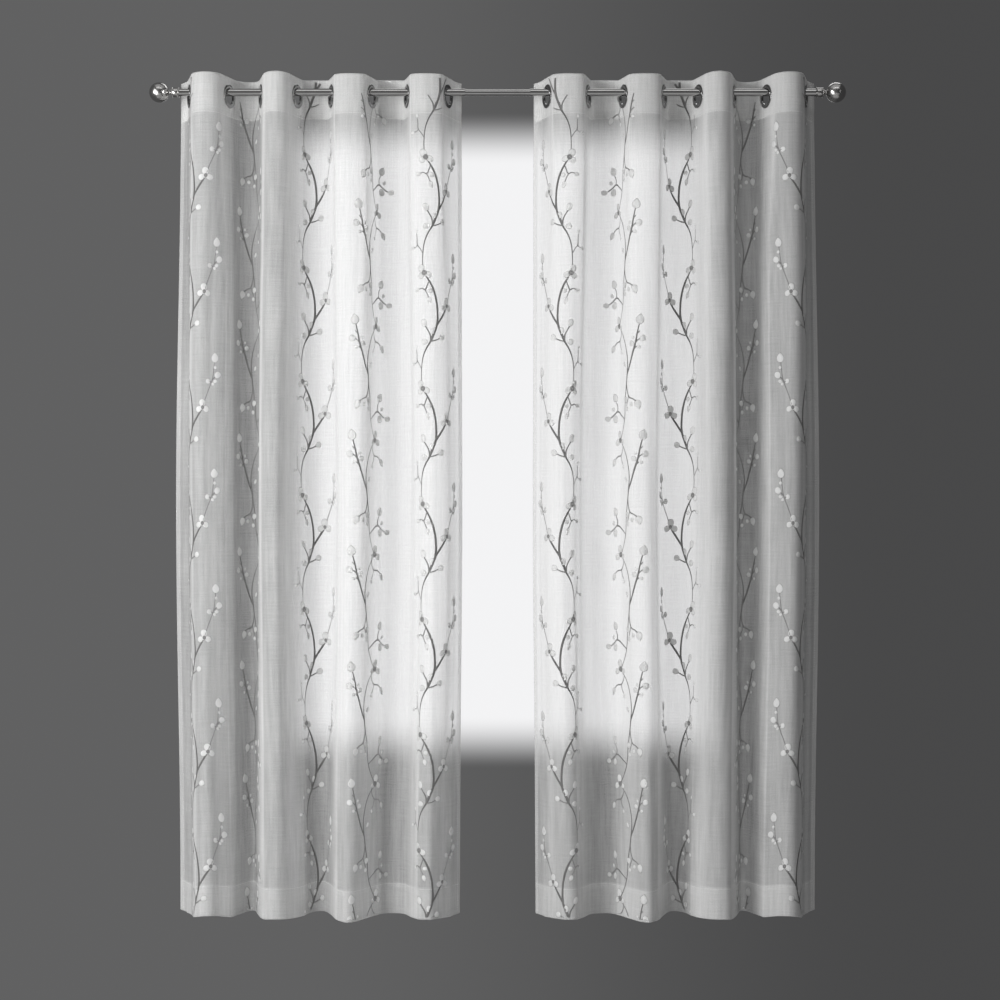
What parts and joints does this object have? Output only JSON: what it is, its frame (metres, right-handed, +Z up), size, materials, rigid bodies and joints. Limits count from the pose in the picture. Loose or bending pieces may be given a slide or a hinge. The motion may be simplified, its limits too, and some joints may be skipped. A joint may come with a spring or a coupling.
{
  "type": "pair of sheer voile eyelet curtains on a curtain rod",
  "caption": "Sheer voile curtains with metal eyelets and a deep stiffened heading, hanging in soft folds, drawn open on a telescopic metal rod with ball finials.",
  "frame": {"origin": "middle of the curtain rod, on its axis", "axes": "+X along the rod, +Y away from the room, +Z up"},
  "size_m": [1.7736, 0.1464, 2.145],
  "materials": {
    "voile": "sheer plain-weave voile, off-white, half see-through",
    "heading_cloth": "stiffened off-white heading cloth, matt",
    "stem_thread": "dark grey satin-stitched embroidery thread",
    "petal_thread": "white satin-stitched embroidery thread with a silk sheen",
    "eyelet_metal": "dark nickel plate, satin",
    "rod_metal": "brushed pewter plate",
    "finial_metal": "polished pewter plate"
  },
  "bodies": {
    "root": {"panel_left": "voile", "panel_right": "voile", "heading_left": "heading_cloth", "heading_right": "heading_cloth", "eyelet_left_1": "eyelet_metal", "eyelet_left_2": "eyelet_metal", "eyelet_left_3": "eyelet_metal", "eyelet_left_4": "eyelet_metal", "eyelet_left_5": "eyelet_metal", "eyelet_left_6": "eyelet_metal", "eyelet_left_7": "eyelet_metal", "eyelet_left_8": "eyelet_metal", "eyelet_right_1": "eyelet_metal", "eyelet_right_2": "eyelet_metal", "eyelet_right_3": "eyelet_metal", "eyelet_right_4": "eyelet_metal", "eyelet_right_5": "eyelet_metal", "eyelet_right_6": "eyelet_metal", "eyelet_right_7": "eyelet_metal", "eyelet_right_8": "eyelet_metal", "rod_tube_left": "rod_metal", "rod_tube_right": "rod_metal", "rod_slider": "rod_metal", "finial_collar_left": "rod_metal", "finial_collar_right": "rod_metal", "finial_ball_left": "finial_metal", "finial_ball_right": "finial_metal"}
  },
  "joints": []
}
